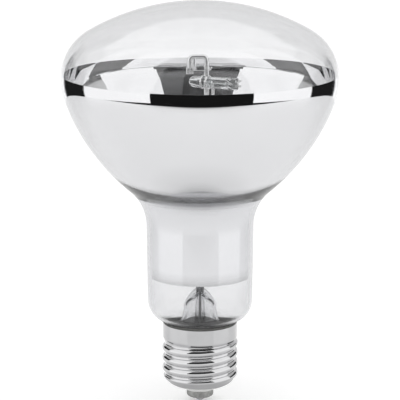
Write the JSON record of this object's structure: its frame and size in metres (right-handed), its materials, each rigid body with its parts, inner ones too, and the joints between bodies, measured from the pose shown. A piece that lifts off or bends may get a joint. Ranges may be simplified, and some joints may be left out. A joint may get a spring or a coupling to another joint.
{
  "type": "reptile uv heat lamp bulb",
  "caption": "Mushroom-shaped reflector lamp with a mirrored bowl, clear face, quartz burner inside and a threaded screw cap; gives heat and UV light to a reptile tank.",
  "frame": {"origin": "on the lamp's axis, in the plane of the centre contact's flat end", "axes": "+Z along the lamp's axis from the cap to the clear face, -Y to the side the picture was taken from"},
  "size_m": [0.095, 0.095, 0.1402],
  "materials": {
    "clear_glass": "clear, polished",
    "mirror_coat": "vapour-deposited mirror film",
    "quartz": "clear, slightly frosted at the pinch",
    "nickel_wire": "drawn wire, satin",
    "shield_sheet": "satin sheet",
    "tungsten": "dull grey",
    "molybdenum": "dull foil",
    "getter": "bright",
    "bead_ceramic": "matt",
    "cap_metal": "bright nickel plate on rolled brass",
    "cap_ceramic": "matt, moulded",
    "contact_metal": "dark, worn",
    "solder": "dull tin",
    "cement": "matt"
  },
  "bodies": {
    "root": {"glass_envelope": "clear_glass", "reflector_coating": "mirror_coat", "stem": "clear_glass", "exhaust_tube": "clear_glass", "contact_lead": "nickel_wire", "shell_lead": "nickel_wire", "support_frame": "nickel_wire", "back_post": "nickel_wire", "getter_cup": "getter", "heat_shield": "shield_sheet", "ballast_filament": "tungsten", "filament_hooks": "molybdenum", "filament_hub": "bead_ceramic", "filament_tail": "nickel_wire", "burner_tube": "quartz", "burner_strap": "shield_sheet", "electrode_long": "tungsten", "electrode_short": "tungsten", "foil_upper": "molybdenum", "foil_lower": "molybdenum", "burner_lead_upper": "molybdenum", "burner_lead_lower": "molybdenum", "cap_shell": "cap_metal", "cap_insulator": "cap_ceramic", "contact_button": "contact_metal", "contact_solder": "solder", "cap_cement": "cement"}
  },
  "joints": []
}
